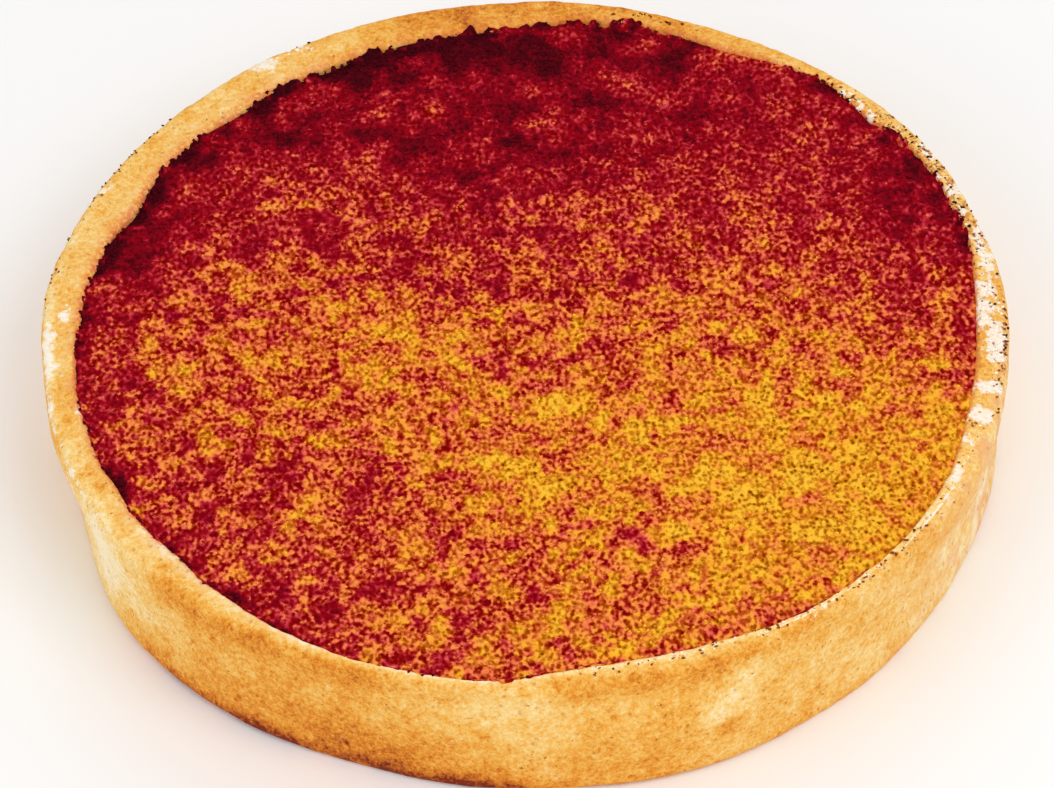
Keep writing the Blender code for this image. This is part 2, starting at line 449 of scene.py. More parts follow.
def outside_at(sizes, angle, height):
    """Outside of the wall: the foot's outline turning into the rim's further up."""
    foot = sizes.base_radius + waves_at(angle, BASE_WAVES) + patches_at(angle, BASE_SPOTS, MM)
    rim = sizes.rim_radius + waves_at(angle, RIM_WAVES) + patches_at(angle, RIM_SPOTS, MM)
    return foot + (rim - foot) * smoothstep(sizes.lip_start, sizes.lip_end, height / sizes.height)


def rim_width(sizes, angle):
    """Width of the rim from its inner edge to its outside."""
    return outside_at(sizes, angle, np.full_like(angle, sizes.height)) - mouth_at(sizes, angle)


def arc(radius, height, size, start, stop, steps):
    """Points on a corner's arc in the half section, angles in degrees."""
    turn = np.radians(np.linspace(start, stop, steps + 1))
    return np.stack([radius + size * np.cos(turn), height + size * np.sin(turn)], axis=1)


def straight(first, last, steps):
    """Points between two in the half section, without either end."""
    part = np.linspace(0.0, 1.0, steps + 1)[1:-1, None]
    return (1.0 - part) * np.array(first) + part * np.array(last)


def shell_section(sizes):
    """Half section of the cup on its mean circles, from the floor up the inner wall,
    over the rim, down the outside and in under the foot; fine where it shows. The
    second array says how strongly each row takes relief."""
    foot = sizes.mouth_radius - sizes.inner_draft
    floor = sizes.floor_thickness
    rim_outer = sizes.height - sizes.rim_slope - sizes.rim_outer_round
    bowl = arc(foot - sizes.inner_fillet, floor + sizes.inner_fillet, sizes.inner_fillet, -90, 0, 3)
    inner = arc(sizes.mouth_radius + sizes.rim_inner_round, sizes.height - sizes.rim_inner_round,
                sizes.rim_inner_round, 180, 90, 5)
    outer = arc(sizes.rim_radius - sizes.rim_outer_round, rim_outer, sizes.rim_outer_round, 90, 0, 7)
    under = arc(sizes.rim_radius - sizes.base_round, sizes.base_round, sizes.base_round, 0, -90, 6)
    underside_edge = np.array([(sizes.rim_radius - 5.0 * MM, 0.0)])
    parts = (
        (bowl, 0.0),
        (straight(bowl[-1], inner[0], 4), 0.0),
        (inner, 1.0),
        (straight(inner[-1], outer[0], 12), 1.0),
        (outer, 1.0),
        (straight(outer[-1], under[0], 38), 1.0),
        (under[:-1], 0.8),
        (under[-1:], 0.0),
        (underside_edge, 0.0),
    )
    section = np.concatenate([points for points, _ in parts])
    relief = np.concatenate([np.full(len(points), depth) for points, depth in parts])
    return section, relief


def shape_shell(sizes, section, angle):
    """Carries the round section onto the uneven case at every angle: radii are stretched
    between the middle, the mouth and the outside, and the rim follows its own waves."""
    radius = section[:, 0, None]
    height = section[:, 1, None] + 0.0 * angle[None, :]
    turn = angle[None, :] + 0.0 * radius
    mouth = mouth_at(sizes, turn)
    outside = outside_at(sizes, turn, height)
    in_wall = np.clip((radius - sizes.mouth_radius) / (sizes.rim_radius - sizes.mouth_radius), 0.0, 1.0)
    in_bowl = np.clip(radius / sizes.mouth_radius, 0.0, 1.0)
    reach = mouth * in_bowl + (outside - mouth) * in_wall
    upper = smoothstep(0.5 * sizes.height, sizes.height, height)
    level = height + waves_at(turn, HEIGHT_WAVES) * upper
    return round_points(reach, turn, level), in_wall + 0.0 * turn


def rim_level(sizes, angle, across):
    """Height of the crust's top at a share of the way across the rim."""
    section, _ = shell_section(sizes)
    share = (section[:, 0] - sizes.mouth_radius) / (sizes.rim_radius - sizes.mouth_radius)
    top = (section[:, 1] > 0.9 * sizes.height) & (share >= 0.0)
    order = np.argsort(share[top], kind="stable")
    level = np.interp(across, share[top][order], section[top, 1][order])
    return level + waves_at(angle, HEIGHT_WAVES)


# ---- Baked crust ----

# Patches of the wall: (angle, height in mm, half width in degrees, half height in mm, strength)
WALL_PATCHES = (
    (209, 10, 6, 6, -0.36), (198, 6, 7, 6, -0.2), (228, 13, 10, 1.8, 0.14), (244, 14.4, 17, 1.4, 0.11),
    (243, 7, 16, 5, 0.07), (216, 2.6, 7, 2, 0.14), (248, 5, 16, 2.2, 0.12), (249, 2.4, 15, 1.7, 0.13),
    (226, 0.6, 8, 1.2, 0.26), (254, 0.4, 8, 1.2, 0.34), (235, 0.7, 4, 1.2, 0.36), (264, 0.7, 5, 1, 0.2),
    (268, 11, 5, 5, -0.2), (288, 14.2, 12, 1, 0.2), (284, 11, 9, 2, 0.03), (280, 4, 8, 4, 0.08),
    (295, 12, 1.3, 1.4, -0.22), (292.5, 9.8, 1.3, 1.4, -0.24), (290, 7.4, 1.3, 1.4, -0.24),
    (291.5, 5.8, 1, 0.9, 0.24), (310, 7, 16, 6, -0.05), (338, 8, 14, 8, -0.17), (343, 7, 9, 9, -0.14),
    (334, 1.5, 12, 2.5, -0.1), (322, 13.2, 3, 1.4, 0.14), (331, 12.8, 3, 1.6, 0.14),
)

# Patches of the rim: (angle, half width in degrees, strength of baking)
RIM_PATCHES = (
    (96, 11, 0.2), (78, 12, 0.18), (60, 9, 0.04), (122, 9, -0.03), (178, 8, -0.05), (188, 3, 0.1),
    (212, 18, -0.03), (256, 22, -0.04), (298, 18, 0.02), (320, 6, 0.03), (332, 10, -0.02),
    (26, 12, -0.06), (0, 7, 0.05),
)

# Flour on the rim, and painted highlights on its right side and on its outer edge on the left, drawn
# as the same white patches: (angle, half width in degrees, place across the rim, half width, strength)
FLOUR_AND_HIGHLIGHT_PATCHES = (
    (8, 3.2, 0.6, 0.34, 0.62), (3, 1.6, 0.35, 0.4, 0.66), (0, 1.2, 0.3, 0.3, 0.8),
    (354, 2.8, 0.62, 0.26, 0.86), (357.5, 1.2, 0.25, 0.25, 0.8), (346.6, 0.9, 0.55, 0.33, 1),
    (341.8, 1.1, 0.45, 0.3, 0.95), (337.3, 1, 0.22, 0.26, 0.6), (332, 1.1, 0.35, 0.24, 0.75),
    (327, 1.6, 0.65, 0.22, 0.35), (305, 1.2, 0.4, 0.25, 0.45), (323, 10, 0.44, 0.05, 0.66),
    (304, 6, 0.36, 0.05, 0.62), (314, 2.2, 0.42, 0.2, 0.4), (12.5, 1.6, 0.6, 0.4, 0.75),
    (16.5, 0.7, 0.35, 0.3, 0.95), (20.5, 0.8, 0.55, 0.35, 0.85), (23.5, 0.6, 0.2, 0.25, 0.8),
    (27.5, 1.1, 0.65, 0.3, 1), (36.8, 0.5, 0.1, 0.2, 0.95), (39, 0.4, 0.15, 0.2, 0.95),
    (42.5, 0.5, 0.15, 0.2, 0.8), (116, 0.7, 0.85, 0.22, 0.6), (121, 1.2, 0.85, 0.24, 0.75),
    (150, 1, 0.85, 0.16, 0.4), (172, 0.7, 0.42, 0.16, 0.62), (178, 4, 0.95, 0.26, 0.8),
    (186, 7, 1.02, 0.16, 0.8), (200, 6, 1, 0.14, 0.6), (189, 1, 0.1, 0.1, 0.5),
)

# Scorched rim: (angle, half width in degrees, strength), over all its width and then
# only from one share of the way across it to another
SCORCHES = ((22, 10, 0.36), (38, 4, 0.25), (0, 12, 0.16), (318, 22, 0.1))
OUTER_SCORCHES = (((142, 10, 0.35), 0.8, 0.97), ((355, 6, 0.45), 0.7, 0.9))

# Tones from pale to dark: (how brown, colour)
CRUST_TONES = (
    (0.02, "cream"), (0.22, "straw"), (0.46, "gold"), (0.66, "amber"), (0.88, "brown"), (1.0, "umber"),
)


def bake_and_light_amount(sizes, angle, height, across):
    """How brown the crust is, from 0, cream, to 1, umber: a mean level, patches on the wall by angle
    and height, and patches on the rim by angle and place across it. Painted light is mixed in: a
    painted highlight and a painted shade along the front of the rim's inner edge, and a painted
    highlight on the rim's outer edge on the left."""
    front = smoothstep(0.0, 0.5, -np.sin(angle))
    on_rim = smoothstep(0.93, 0.975, height / sizes.height) * (1.0 - front * smoothstep(0.48, 0.82, across))
    wall = 0.43 + 0.1 * bell(height / MM, 1.0)
    for place, level, width, tall, strength in WALL_PATCHES:
        wall += strength * near(angle, place, width) * bell(height / MM - level, tall)

    left = near(angle, 188, 22)
    inner = 0.07 + 0.05 * left + 0.1 * near(angle, 315, 22) - 0.12 * near(angle, 95, 30)
    # Along the front of the rim: a pale line near its inner edge, a painted highlight where that edge catches
    # the light, and a browner band beside it, a painted shade.
    front_lip_highlight_and_shade = 0.03 * bell(across - 0.54, 0.13) - 0.25 * bell(across - 0.17, 0.12)
    rim = 0.39 + inner * (1.0 - smoothstep(0.0, 0.35, across))
    rim += smoothstep(0.35, 0.65, -np.sin(angle)) * front_lip_highlight_and_shade
    rim += 0.02 * near(angle, 335, 16) * smoothstep(0.5, 0.9, across)
    # The outer part of the rim on the left is painted paler: a painted highlight on that edge.
    rim += patches_at(angle, RIM_PATCHES) - 0.28 * left * smoothstep(0.55, 0.95, across)
    return wall * (1.0 - on_rim) + rim * on_rim


def rim_finish(angle, across, on_rim):
    """Numbers for the crust's material on the rim: white patches, partly flour and partly painted
    highlights, a blush and flecks of glaze along its inner edge, and scorches."""
    flour = np.zeros_like(angle)
    for place, width, middle, reach, strength in FLOUR_AND_HIGHLIGHT_PATCHES:
        flour = np.maximum(flour, strength * near(angle, place, width) * bell(across - middle, reach))
    inner = (1.0 - smoothstep(0.1, 0.6, across)) * on_rim
    back = near(angle, 150, 45) + near(angle, 215, 25)
    side = near(angle, 342, 14) * smoothstep(0.5, 0.8, across)
    lip = (1.0 - smoothstep(0.04, 0.22, across)) * on_rim
    char = patches_at(angle, SCORCHES)
    for patch, start, full in OUTER_SCORCHES:
        char += patches_at(angle, (patch,)) * smoothstep(start, full, across)
    return {
        "flour": flour * on_rim,
        "blush": np.clip(0.38 * inner * back + 0.75 * side, 0.0, 1.0),
        "glaze": lip * (0.8 - 0.6 * near(angle, 290, 45) - 0.45 * near(angle, 92, 30)),
        "char": char * on_rim,
    }


def pastry_relief(points, on_rim):
    """Rise of the crust's surface in metres: slow lumps, fine crumb and scattered
    pores, rougher on the rim. The second array tells where the pores are."""
    lumps = layers_at(points, (0.09, 6.5, 11), (0.05, 2.6, 12))
    crumb = layers_at(points, (0.035, 1.1, 13), (0.03, 0.62, 14))
    away, mark = nearest_seed(points, 1.7, 15)
    pores = smoothstep(0.3, 0.1, away) * (mark > 0.45)
    rise = lumps + crumb * (1.0 + 0.9 * on_rim) - 0.13 * pores * (1.0 - 0.5 * on_rim) - 0.03
    return rise * MM, pores


def pastry_material(colours):
    """Shortcrust: baked tones by patch with some painted highlight and shade among them,
    mottling, pores painted darker as painted shade, dark specks, white patches of flour and
    painted highlights, and char.
    """
    w = Wiring("shortcrust")
    crumb = w.noise(0.5, 2.0, 0.6, 0.57)
    grain = w.noise(0.24, 1.0, 0.6, 0.93)
    tone = w.total(
        w.number("bake"),
        w.centred(w.noise(5.0, 3.0, 0.55), 0.5),
        w.centred(w.noise(1.5, 2.0, 0.6, 0.31), 0.4),
        w.centred(crumb, 0.62),
        w.centred(grain, 0.42),
        # Pores painted darker: painted shade in the pits.
        w.times(w.number("pore"), 0.16),
    )
    # White patches: flour, and painted highlights on the rim.
    dusty_and_lit = w.total(w.number("flour"), w.scaled(w.noise(0.9, 3.0, 0.65, 0.77), 1.7, -1.1))
    thin = w.spread(w.noise(0.35, 1.0, 0.5, 0.37), 0.3, 0.7, 0.62, 1.0)
    flour = w.times(w.spread(dusty_and_lit, 0.08, 0.32), thin)
    scorched = w.total(w.number("char"), w.scaled(w.noise(0.55, 2.0, 0.6, 0.9), 3.0, -1.95))
    layers = (
        (w.times(w.number("blush"), w.spread(w.noise(2.2, 2.0, 0.6, 0.67), 0.38, 0.6)), colours.peach),
        (w.times(w.number("glaze"), w.spread(w.noise(0.5, 2.0, 0.6, 0.19), 0.42, 0.52)), colours.coral),
        (w.spread(w.specks(1.3, 0.13), 0.1, 0.2, 0.42, 0.0), colours.brown),
        (flour, colours.flour),
        (w.spread(scorched, 0.05, 0.35, 0.0, 0.85), colours.rust),
        (w.spread(scorched, 0.38, 0.5, 0.0, 0.9), colours.char),
    )
    colour = w.ramp(tone, colours, CRUST_TONES)
    for cover, tint in layers:
        colour = w.mix(cover, colour, linear(tint))
    relief = w.total(w.times(crumb, 0.6), w.times(grain, 0.4), w.times(flour, 0.15))
    return w.finish(colour, 0.72, 0.1, relief, 0.14, 0.6)


class TARTLET_OT_bake_shell(bpy.types.Operator):
    """Makes the shortcrust shell: floor, wall and uneven rim with its crumb and pores"""
    bl_idname = "tartlet.bake_shell"
    bl_label = "Bake shell"

    def execute(self, context):
        sizes = context.scene.tartlet_sizes
        section, relief = shell_section(sizes)
        rows, columns = len(section), 1080
        angle = np.arange(columns) / columns * TAU
        points, across = shape_shell(sizes, section, angle)
        turn = angle[None, :] + 0.0 * across
        on_rim = smoothstep(0.9, 0.97, points[..., 2] / sizes.height)
        rise, pores = pastry_relief(points, on_rim)
        points = keep_inside(points + surface_normals(points) * (rise * relief[:, None])[..., None])
        middles = np.array([[0.0, 0.0, sizes.floor_thickness], [0.0, 0.0, 0.0]])
        last = rows * columns
        faces = turned_faces(rows, columns)
        faces += fan_faces(np.arange(columns), last)
        faces += fan_faces(np.arange(columns)[::-1] + last - columns, last + 1)
        piece = add_piece("baked_shell", np.concatenate([points.reshape(-1, 3), middles]), faces,
                          pastry_material(context.scene.tartlet_pastry), SHELL_NODE)
        store(piece, "bake", bake_and_light_amount(sizes, turn, points[..., 2], across), 0.4)
        store(piece, "pore", pores * relief[:, None])
        for name, values in rim_finish(turn, across, on_rim).items():
            store(piece, name, values)
        return {"FINISHED"}


# ---- Burnt sugar top ----

# Where the flame dwelt: (right in mm, back in mm, half width, half depth, strength)
BURN_PATCHES = (
    (36, 11, 8, 9, 0.045), (30, -25, 16, 12, -0.25), (0, -16, 8, 6, -0.12), (-12, -4, 16, 8, -0.03),
    (-15, 1, 5, 4, -0.1), (17, -1, 8, 5, -0.05), (-20, -33, 10, 6, 0.09), (-38, -22, 6, 6, 0.05),
    (41, -10, 4, 8, -0.05), (40, 26, 4, 4, -0.08), (-14, -24, 5, 3, 0.05), (-22, 23, 6, 4, -0.1),
    (10, 22, 12, 4, -0.05), (28, 34, 9, 6, -0.08), (-3, 27, 8, 4, 0.05), (-3.5, 43, 4.5, 2, 0.26),
    (-12, 41, 4, 1.8, 0.18), (4, 42, 1.6, 1.2, 0.16), (6, 45.5, 4, 0.8, -0.2), (-42, 14, 5, 7, 0.17),
    (-44, -4, 5, 6, 0.12), (41, 10, 6, 12, 0.12), (32, 12, 7, 12, -0.05), (36, 24, 7, 7, -0.05),
    (38, 20, 7, 6, 0.03), (6, 4, 6, 4, 0.07), (12, -31, 3, 2.5, 0.1), (38, -37, 8, 3, 0.08),
    (4, -38, 8, 4, -0.04),
)

# Charred border: (angle, half width in degrees, strength)
CHARRED_BORDER = (
    (92, 9, 0.4), (115, 16, 0.26), (146, 12, 0.32), (165, 7, 0.2), (186, 12, 0.28), (203, 5, 0.42),
    (212, 4, 0.46), (222, 4, 0.34), (231, 4, 0.38), (241, 6, 0.36), (268, 3, 0.15), (285, 2, 0.2),
    (303, 3, 0.14), (14, 6, 0.12), (24, 4, 0.16), (32, 3, 0.18), (48, 3, 0.12), (355, 8, 0.16),
    (73, 3, 0.16),
)

# Tones of the threads and of the grains: (how burnt, colour)
THREAD_TONES = (
    (0.02, "lemon"), (0.13, "yellow"), (0.21, "amber"), (0.30, "salmon"), (0.44, "coral"),
    (0.53, "rose"), (0.63, "ruby"), (0.79, "wine"), (0.97, "soot"),
)
GRAIN_TONES = (
    (0.0, "umber"), (0.12, "toffee"), (0.25, "rust"), (0.42, "garnet"), (0.62, "crimson"),
    (0.74, "wine"), (0.86, "maroon"), (0.97, "soot"),
)

SCREEN_GAMMA = 2.2
PATTERN_DEPTH = 0.78
FLOOR_GAP = 0.3 * MM


def evenness(burn):
    """How far the burn may wander: less where it is strong or faint."""
    return 1.0 - 0.55 * smoothstep(0.42, 0.66, burn) - 0.35 * smoothstep(0.3, 0.12, burn)


def burn_amount(points, angle, inset):
    """How burnt the sugar is, from 0, clear, to 1, soot: rising towards the back, with
    patches, a charred border and cloudy unevenness."""
    flat = flattened(points)
    right, back = flat[..., 0] / MM, flat[..., 1] / MM
    burn = 0.365 + 0.31 * smoothstep(0.0, 34.0, back)
    for place_x, place_y, width, depth, strength in BURN_PATCHES:
        burn += strength * bell(right - place_x, width) * bell(back - place_y, depth)
    frayed = 0.6 + layers_at(flat, (0.65, 2.3, 36), (0.5, 0.8, 37))
    burn += patches_at(angle, CHARRED_BORDER) * bell(inset / MM, 1.3) * np.clip(frayed, 0.0, 1.2)

    slow = layers_at(flat, (0.025, 8.0, 31), (0.05, 3.6, 32))
    mottle = 0.22 * soft_noise(flat, 2.6, 35) * smoothstep(0.52, 0.68, burn)
    clouds = layers_at(flat, (0.15, 1.9, 33), (0.15, 1.0, 34)) * evenness(burn)
    calm_right = 0.4 * bell(right - 32, 14) * bell(back - 16, 16)
    lively_front = 0.25 * bell(right - 24, 12) * bell(back + 22, 12)
    total = burn + slow + mottle + clouds * (1.0 - calm_right + lively_front)
    return np.minimum(total, 0.89 + 0.11 * bell(inset / MM, 1.2))


def disc_from_square(x, y):
    """Concentric map of the square from -1 to 1 onto the unit disc."""
    reach = np.maximum(np.abs(x), np.abs(y))
    turn = np.minimum(np.abs(x), np.abs(y)) / np.maximum(reach, 1e-12) * math.pi / 4.0
    wide = np.abs(x) >= np.abs(y)
    across = np.where(wide, np.cos(turn), np.sin(turn))
    along = np.where(wide, np.sin(turn), np.cos(turn))
    return np.sign(x) * across * reach, np.sign(y) * along * reach


def sugar_surface(sizes, angle, part):
    """Points of the top at each angle and share of the way from the middle to the
    crust, with their distance from it: slow swells and a granular skin, dipping where
    the top meets the crust."""
    edge = mouth_at(sizes, angle) + sizes.overlap
    inset = (1.0 - part) * edge
    points = round_points(part * edge, angle, sizes.height - sizes.fill_drop)
    for rise, wavelength, heading, phase in TOP_SWELLS:
        course = math.radians(heading)
        travel = (points[..., 0] * math.cos(course) + points[..., 1] * math.sin(course)) / (wavelength * MM)
        points[..., 2] += rise * MM * np.sin(TAU * travel + math.radians(phase))
    points[..., 2] -= sizes.edge_tuck * (1.0 - smoothstep(0.0, sizes.edge_tuck_width, inset))
    points[..., 2] += MM * layers_at(flattened(points), (0.05, 2.8, 41), (0.05, 1.3, 42), (0.05, 0.75, 43))
    return points, inset


def sugar_colour(w, colours, wander, shift=0.0):
    """Threads of pale sugar between dark grains: grains lie where a cloudy noise is far
    from its middle value or a seed is near, threads between them. Both darken with the
    burn, and the grains widen with it until they run together. Tones are blended as
    screen values and turned to light at the end. The second socket is the grains'
    cover."""
    steady = w.number("burn")
    burn = w.total(steady, wander)
    far = w.maths("ABSOLUTE", w.maths("SUBTRACT", w.noise(0.72, 1.0, 0.5, 0.41), 0.5))
    blots = w.scaled(w.noise(0.46, 0.0, 0.5, 0.93), 0.46, -0.234)
    near_seed = w.maths("SUBTRACT", 0.42, w.specks(0.44, 0.13))
    level = w.total(
        w.times(w.total(w.times(far, 0.58), blots), w.spread(burn, 0.05, 0.45, 0.6, 1.0)),
        w.times(near_seed, w.spread(burn, 0.0, 0.5, 0.28, 0.08)),
        w.spread(burn, 0.0, 0.5, -0.067, -0.029),
        w.spread(burn, 0.54, 0.85, shift, shift + 0.1),
    )
    threads = w.ramp(w.total(
        steady,
        w.times(wander, 0.32),
        w.spread(w.noise(1.1, 1.0, 0.5, 0.55), 0.35, 0.65, -0.07, 0.07),
        w.spread(level, -0.16, 0.0, -0.05, 0.06),
    ), colours, THREAD_TONES, screen)
    grains = w.ramp(w.total(
        steady,
        w.times(wander, 0.6),
        w.times(w.spread(level, 0.04, 0.13, 0.0, -0.14), w.spread(steady, 0.2, 0.36, 1.0, 0.0)),
        w.times(w.spread(level, 0.02, 0.2, -0.06, 0.1), w.spread(burn, 0.4, 0.54)),
    ), colours, GRAIN_TONES, screen)
    core = w.times(w.spread(level, 0.06, 0.2, 0.0, 0.55), w.spread(burn, 0.24, 0.4))
    grains = w.mix(core, grains, screen(colours.maroon))
    cover = w.spread(w.times(level, w.spread(burn, 0.1, 0.45, 0.75, 1.0)), -0.08, 0.09)
    light = w.add("Gamma", {"Color": w.mix(cover, threads, grains), "Gamma": SCREEN_GAMMA})
    return light.outputs["Color"], cover


def sugar_material(colours):
    """Burnt sugar, toned by the burn and a finer wander of it, with dark clumps where it
    is clear."""
    w = Wiring("burnt_sugar")
    w.stretch(PATTERN_DEPTH)
    clumps = w.times(w.spread(w.specks(5.5, 0.37), 0.07, 0.16, 0.42, 0.0),
                     w.spread(w.number("burn"), 0.2, 0.4, 1.0, 0.0))
    wander = w.total(
        w.centred(w.noise(1.3, 2.0, 0.6), 0.36), w.centred(w.noise(0.62, 1.0, 0.6, 0.21), 0.26), clumps)
    colour, cover = sugar_colour(w, colours, wander)
    return w.finish(colour, 0.4, 0.0, cover, 0.12, 0.5)


def grain_material(name, colours, pale=False):
    """Loose grains, dark ones or clear crystals, toned as the sugar where they lie."""
    w = Wiring(name)
    w.stretch(PATTERN_DEPTH)
    wander = w.centred(w.noise(1.3, 2.0, 0.6), 0.4)
    colour, _ = sugar_colour(w, colours, wander, -0.04 if pale else 0.03)
    return w.finish(colour, 0.35, 0.0)


class TARTLET_OT_burn_sugar(bpy.types.Operator):
    """Makes the custard with its burnt sugar top"""
    bl_idname = "tartlet.burn_sugar"
    bl_label = "Burn sugar"

    def execute(self, context):
        sizes = context.scene.tartlet_sizes
        cells = 300
        line = np.linspace(-1.0, 1.0, cells + 1)
        x, y = disc_from_square(*np.meshgrid(line, line))
        angle = np.arctan2(y, x)
        surface, inset = sugar_surface(sizes, angle, np.hypot(x, y))
        top = surface.reshape(-1, 3)
        index = np.arange(len(top)).reshape(cells + 1, cells + 1)
        quads = np.stack([index[:-1, :-1], index[:-1, 1:], index[1:, 1:], index[1:, :-1]], axis=-1)
        faces = quads.reshape(-1, 4).tolist()

        ring = np.concatenate([index[0, :-1], index[:-1, -1], index[-1, :0:-1], index[:0:-1, 0]])
        around = np.arctan2(top[ring, 1], top[ring, 0])
        reach = np.hypot(top[ring, 0], top[ring, 1])
        floor = sizes.floor_thickness + FLOOR_GAP
        sides = ((reach - 0.2 * MM, 0.7 * sizes.height), (reach - sizes.inner_draft - 0.5 * MM, floor))
        rows = [top]
        for radius, level in sides:
            lower = sum(map(len, rows)) + np.arange(len(ring))
            rows.append(round_points(radius, around, level))
            faces += band_faces(ring, lower)
            ring = lower
        points = np.concatenate(rows + [np.array([[0.0, 0.0, floor]])])
        faces += fan_faces(ring[::-1], len(points) - 1)
        piece = add_piece("burnt_sugar_top", points, faces, sugar_material(context.scene.tartlet_sugar),
                          CUSTARD_NODE)
        store(piece, "burn", burn_amount(surface, angle, inset), 0.4)
        return {"FINISHED"}


def add_crystals(name, places, sizes, rng, material, blocks=False):
    """Piece of joined rough crystals: balls of twenty faces, or blocks of six, with
    jittered corners, each stretched along its own three sizes and turned about two axes.
    Also gives how many corners each crystal has."""
    ball = bmesh.new()
    if blocks:
        bmesh.ops.create_cube(ball, size=1.7)
    else:
        bmesh.ops.create_icosphere(ball, subdivisions=1, radius=1.0)
    corners = np.array([vertex.co for vertex in ball.verts])
    faces = np.array([[vertex.index for vertex in face.verts] for face in ball.faces])
    ball.free()
    count = len(places)
    shape = corners[None] * rng.uniform(0.75, 1.25, (count, len(corners), 1)) * sizes[:, None, :]
    tilt = rng.normal(0.0, 0.35, (count, 1))
    turn = rng.uniform(0.0, TAU, (count, 1))
    x, y, z = shape[..., 0], shape[..., 1], shape[..., 2]
    y, z = y * np.cos(tilt) - z * np.sin(tilt), y * np.sin(tilt) + z * np.cos(tilt)
    x, y = x * np.cos(turn) - y * np.sin(turn), x * np.sin(turn) + y * np.cos(turn)
    points = np.stack([x, y, z], axis=-1) + places[:, None, :]
    faces = faces[None] + len(corners) * np.arange(count)[:, None, None]
    piece = add_piece(
        name, keep_inside(points), faces.reshape(-1, faces.shape[-1]).tolist(), material)
    piece.data.shade_flat()
    return piece, len(corners)


def strewn_places(sizes, spacing, rng):
    """Angles and shares of the way to the crust of places on a staggered grid, each
    shaken off its node."""
    reach = sizes.mouth_radius + 2.0 * MM
    shake = 0.24 * spacing
    line = np.arange(-reach, reach, spacing)
    row, column = np.meshgrid(np.arange(len(line)), np.arange(len(line)), indexing="ij")
    x = line[column] + 0.5 * spacing * (row % 2) + rng.normal(0.0, shake, row.shape)
    y = line[row] + rng.normal(0.0, shake, row.shape)
    angle = np.arctan2(y, x).ravel()
    part = np.hypot(x, y).ravel() / (mouth_at(sizes, angle) + sizes.overlap)
    inside = part < GRAINED_SHARE
    return angle[inside], part[inside]


# How far towards the crust the grains lie
GRAINED_SHARE = 0.992

# Grains on the top: (name, spacing in mm, seed, clear, half size in mm unburnt and burnt,
# share left out unburnt and burnt)
GRAIN_KINDS = (
    ("burnt_grains", 0.6, 51, False, 0.125, 0.22, 0.3, 0.15),
    ("clear_crystals", 0.72, 52, True, 0.15, 0.13, 0.25, 0.45),
)


class TARTLET_OT_strew_grains(bpy.types.Operator):
    """Strews the top with burnt grains and clear crystals of sugar, half sunk in it"""
    bl_idname = "tartlet.strew_grains"
    bl_label = "Strew grains"

    def execute(self, context):
        sizes = context.scene.tartlet_sizes
        for name, spacing, seed, clear, low, high, few, many in GRAIN_KINDS:
            rng = np.random.default_rng(seed)
            angle, part = strewn_places(sizes, spacing * MM, rng)
            places, inset = sugar_surface(sizes, angle, part)
            burn = burn_amount(places, angle, inset)
            share = np.clip(burn / 0.85, 0.0, 1.0)
            kept = rng.uniform(0.0, 1.0, len(burn)) > few + (many - few) * share
            places, burn, share = places[kept], burn[kept], share[kept]
            half = (low + (high - low) * share) * rng.uniform(0.75, 1.25, len(burn)) * MM
            shape = half[:, None] * rng.uniform(0.7, 1.35, (len(burn), 3)) * np.array([1.0, 1.0, 0.5])
            material = grain_material(name, context.scene.tartlet_sugar, clear)
            piece, corners = add_crystals(name, places, shape, rng, material, blocks=True)
            tone = burn + rng.normal(0.0, 0.05, len(burn)) * evenness(burn) - (0.04 if clear else 0.0)
            store(piece, "burn", np.repeat(tone, corners))
        return {"FINISHED"}


# Sugar that crept over the crust's edge: (angle, half width in degrees, reach in mm)
CREEP_PATCHES = (
    (165, 80, 0.16), (8, 4, 0.15), (15, 3, 0.25), (23, 2, 0.3), (30, 3, 0.25), (47, 3, 0.4),
    (73, 1.2, 0.4), (80, 5, 0.1), (94.2, 0.45, 1), (90, 5, 0.1), (108, 1, 0.45), (124, 3, 0.2),
    (130, 3, -0.3), (142, 6, 0.18), (152, 3, -0.45), (161, 6, 0.15), (184, 8, 0.05), (197, 4, 0.15),
    (203, 2, -0.25), (210, 3, 0.15), (222, 3, 0.15), (235, 2, -0.12), (225, 26, 0.09), (256, 5, 0.2),
    (267, 3, 0.3), (286, 0.8, 0.45), (303, 1.5, 0.15), (312, 1, 0.15),
)

# Beads of burnt sugar on the crust's edge: (first angle, last angle, count)
BORDER_BEADS = ((70, 125, 40), (125, 160, 30), (160, 180, 60), (180, 240, 60), (240, 272, 12), (12, 52, 40))


def creep_reach(angle):
    """How far the sugar laps onto the crust: patches by angle, frayed by fine noise."""
    reach = patches_at(angle, CREEP_PATCHES)
    fringe_radius = 46.0 * MM
    fringe = round_points(fringe_radius, angle, 0.0)
    fray = layers_at(fringe, (0.06, 1.5, 61), (0.1, 0.8, 62), (0.26, 0.45, 66))
    return (reach + fray * smoothstep(0.0, 0.2, reach) - 0.06) * MM


